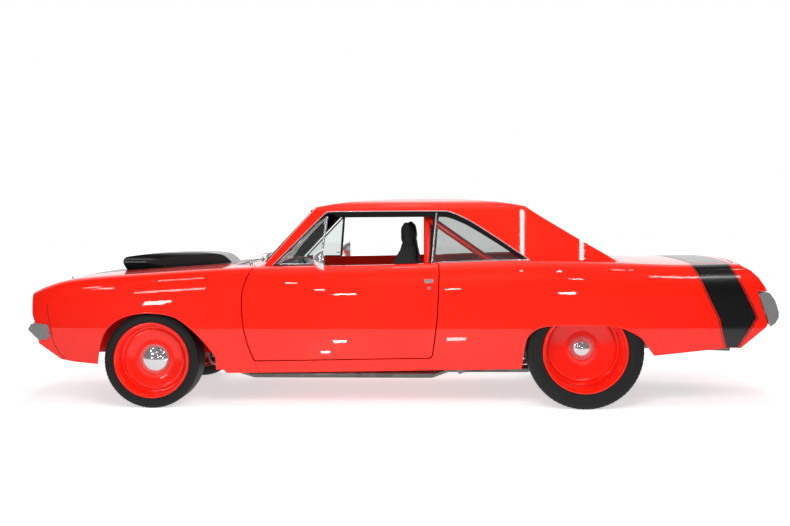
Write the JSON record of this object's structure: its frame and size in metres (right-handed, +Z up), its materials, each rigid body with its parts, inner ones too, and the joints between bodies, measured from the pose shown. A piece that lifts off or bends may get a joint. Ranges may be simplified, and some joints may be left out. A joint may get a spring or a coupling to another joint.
{
  "type": "two-door hardtop coupe",
  "caption": "Lowered two-door hardtop coupe with hood scoop, dished wheels, opening doors, hood and trunk, steering and hollow cabin.",
  "frame": {"origin": "ground level under the middle of the bounding box", "axes": "-X towards the nose, +X towards the tail, -Y towards the driver side (left), +Z up"},
  "size_m": [4.9811, 2, 1.3708],
  "materials": {
    "body_paint": "gloss",
    "black_paint": "satin",
    "chrome": "polished",
    "glass": "gloss",
    "tinted_glass": "gloss",
    "lamp_glass": "gloss",
    "red_lens": "gloss",
    "grille": "satin",
    "engine": "matte",
    "exhaust_steel": "satin",
    "dash_plastic": "matte",
    "seat_cloth": "matte",
    "tyre": "matte"
  },
  "bodies": {
    "body": {"cowl": "body_paint", "dashboard": "dash_plastic", "driveshaft": "black_paint", "engine": "engine", "exhaust": "exhaust_steel", "fender_left": "body_paint", "fender_right": "body_paint", "firewall": "body_paint", "floor_pan": "body_paint", "front_bumper": "chrome", "front_structure": "body_paint", "fuel_tank": "black_paint", "grille": "grille", "headlamps": "lamp_glass", "nose_panel": "body_paint", "quarter_left": "body_paint", "quarter_right": "body_paint", "quarter_windows": "tinted_glass", "radiator": "black_paint", "radiator_support": "body_paint", "rear_axle": "black_paint", "rear_bench": "seat_cloth", "rear_bumper": "chrome", "rear_floor": "body_paint", "rear_shelf": "body_paint", "rear_window": "glass", "roll_cage": "body_paint", "roof": "body_paint", "seat_left": "seat_cloth", "seat_right": "seat_cloth", "suspension_arms": "black_paint", "tail_lamps": "red_lens", "tail_panel": "body_paint", "wheel_tubs": "body_paint", "windshield": "glass"},
    "hood": {"hood": "body_paint", "hood_scoop": "black_paint"},
    "trunk_lid": {"trunk_lid": "body_paint"},
    "door_left": {"door_left": "body_paint", "vent_window_left": "chrome", "door_mirror_left": "chrome"},
    "door_right": {"door_right": "body_paint", "vent_window_right": "chrome", "door_mirror_right": "chrome"},
    "knuckle_left": {"knuckle_left": "black_paint"},
    "knuckle_right": {"knuckle_right": "black_paint"},
    "front_wheel_left": {"front_wheel_left": "body_paint", "front_tyre_left": "tyre"},
    "front_wheel_right": {"front_wheel_right": "body_paint", "front_tyre_right": "tyre"},
    "rear_wheel_left": {"rear_wheel_left": "body_paint", "rear_tyre_left": "tyre"},
    "rear_wheel_right": {"rear_wheel_right": "body_paint", "rear_tyre_right": "tyre"},
    "steering_wheel": {"steering_wheel": "dash_plastic"}
  },
  "joints": [
    {"name": "hood_hinge", "type": "hinge", "parent": "body", "child": "hood", "pos_m": [-1.011, 0, 0.91012], "axis": [0, 1, 0], "range_deg": [0, 50]},
    {"name": "trunk_hinge", "type": "hinge", "parent": "body", "child": "trunk_lid", "pos_m": [1.355, 0, 0.93807], "axis": [0, -1, 0], "range_deg": [0, 60]},
    {"name": "door_left_hinge", "type": "hinge", "parent": "body", "child": "door_left", "pos_m": [-1.085, -0.85854, 0.62], "axis": [0, 0, -1], "range_deg": [0, 65]},
    {"name": "door_right_hinge", "type": "hinge", "parent": "body", "child": "door_right", "pos_m": [-1.085, 0.85854, 0.62], "axis": [0, 0, 1], "range_deg": [0, 65]},
    {"name": "steering_left", "type": "hinge", "parent": "body", "child": "knuckle_left", "pos_m": [-1.596, -0.68, 0.315], "axis": [0, 0, 1], "range_deg": [-30, 30]},
    {"name": "steering_right", "type": "hinge", "parent": "body", "child": "knuckle_right", "pos_m": [-1.596, 0.68, 0.315], "axis": [0, 0, 1], "range_deg": [-30, 30]},
    {"name": "steering_column", "type": "hinge", "parent": "body", "child": "steering_wheel", "pos_m": [-0.602, -0.35, 0.802], "axis": [-0.9063, 0, -0.4226], "range_deg": [-480, 480]},
    {"name": "front_left_spin", "type": "hinge", "parent": "knuckle_left", "child": "front_wheel_left", "pos_m": [-1.596, -0.68, 0.315], "axis": [0, 1, 0], "continuous": true},
    {"name": "front_right_spin", "type": "hinge", "parent": "knuckle_right", "child": "front_wheel_right", "pos_m": [-1.596, 0.68, 0.315], "axis": [0, 1, 0], "continuous": true},
    {"name": "rear_left_spin", "type": "hinge", "parent": "body", "child": "rear_wheel_left", "pos_m": [1.223, -0.62, 0.376], "axis": [0, 1, 0], "continuous": true},
    {"name": "rear_right_spin", "type": "hinge", "parent": "body", "child": "rear_wheel_right", "pos_m": [1.223, 0.62, 0.376], "axis": [0, 1, 0], "continuous": true}
  ],
  "couplings": [
    {"joint": "steering_right", "follows": "steering_left", "ratio": 1},
    {"joint": "steering_column", "follows": "steering_left", "ratio": -16}
  ]
}
